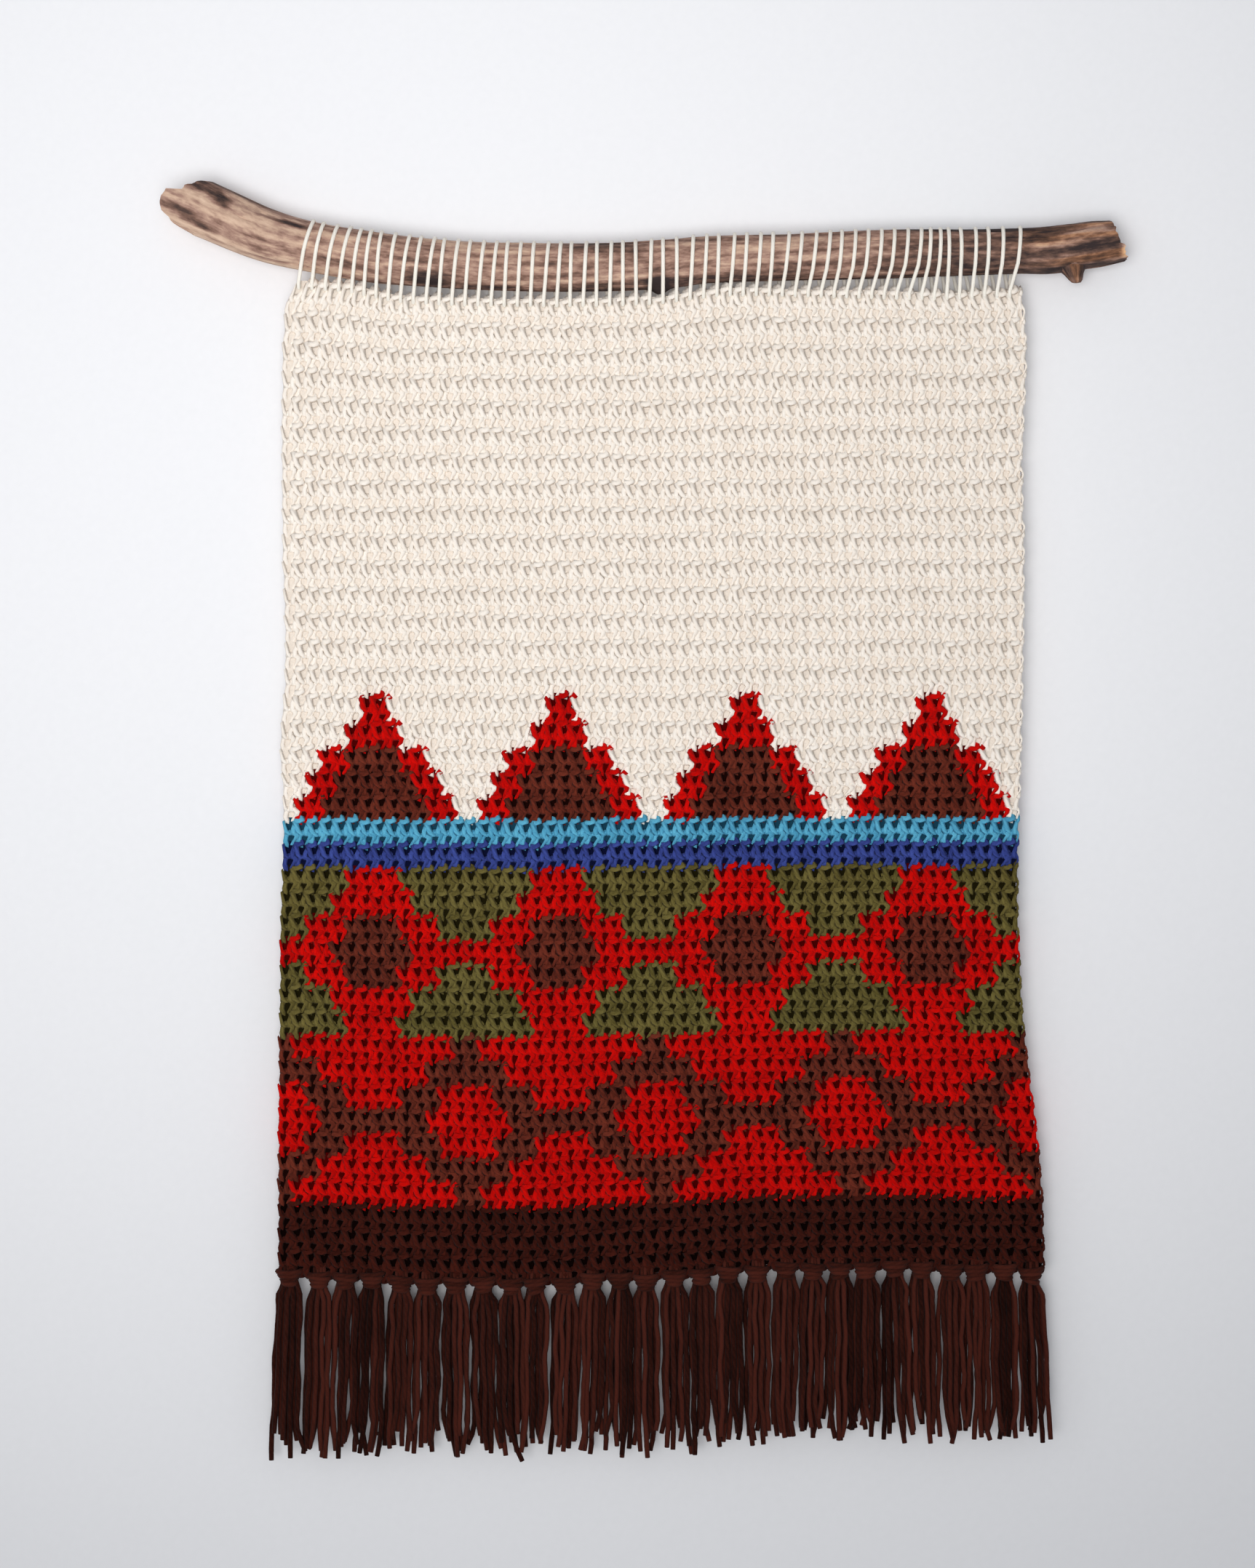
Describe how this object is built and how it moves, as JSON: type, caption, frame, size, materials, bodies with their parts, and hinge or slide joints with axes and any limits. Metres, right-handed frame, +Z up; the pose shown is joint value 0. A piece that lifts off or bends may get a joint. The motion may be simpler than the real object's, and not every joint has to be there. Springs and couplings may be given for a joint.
{
  "type": "crochet wall hanging on a driftwood branch",
  "caption": "Flat panel of single crochet in yarn, whipped by a long yarn under a crooked driftwood branch, with a knotted yarn fringe along the bottom.",
  "frame": {"origin": "middle of the back of the branch, at the middle of its length, where the wall carries it", "axes": "+Z up; +Y straight back into the wall; +X along the branch, to the right as seen from in front; the front of the cloth faces -Y"},
  "size_m": [0.511, 0.036, 0.6805],
  "materials": {
    "driftwood": "bare weathered wood, dull, with long grain, dark checks and paler broken ends",
    "cream_yarn": "matt plied worsted yarn, undyed cream",
    "brown_yarn": "matt plied worsted yarn, dark chestnut brown",
    "red_yarn": "matt plied worsted yarn, scarlet",
    "olive_yarn": "matt plied worsted yarn, dark olive",
    "blue_yarn": "matt plied worsted yarn, royal blue",
    "pale_blue_yarn": "matt plied worsted yarn, light blue"
  },
  "bodies": {
    "root": {"branch": "driftwood", "panel": "cream_yarn", "lashing": "cream_yarn", "tassel_01": "brown_yarn", "tassel_02": "brown_yarn", "tassel_03": "brown_yarn", "tassel_04": "brown_yarn", "tassel_05": "brown_yarn", "tassel_06": "brown_yarn", "tassel_07": "brown_yarn", "tassel_08": "brown_yarn", "tassel_09": "brown_yarn", "tassel_10": "brown_yarn", "tassel_11": "brown_yarn", "tassel_12": "brown_yarn", "tassel_13": "brown_yarn", "tassel_14": "brown_yarn", "tassel_15": "brown_yarn", "tassel_16": "brown_yarn", "tassel_17": "brown_yarn", "tassel_18": "brown_yarn", "tassel_19": "brown_yarn", "tassel_20": "brown_yarn", "tassel_21": "brown_yarn", "tassel_22": "brown_yarn", "tassel_23": "brown_yarn", "tassel_24": "brown_yarn", "tassel_25": "brown_yarn", "tassel_26": "brown_yarn", "tassel_27": "brown_yarn", "tassel_28": "brown_yarn"}
  },
  "joints": []
}
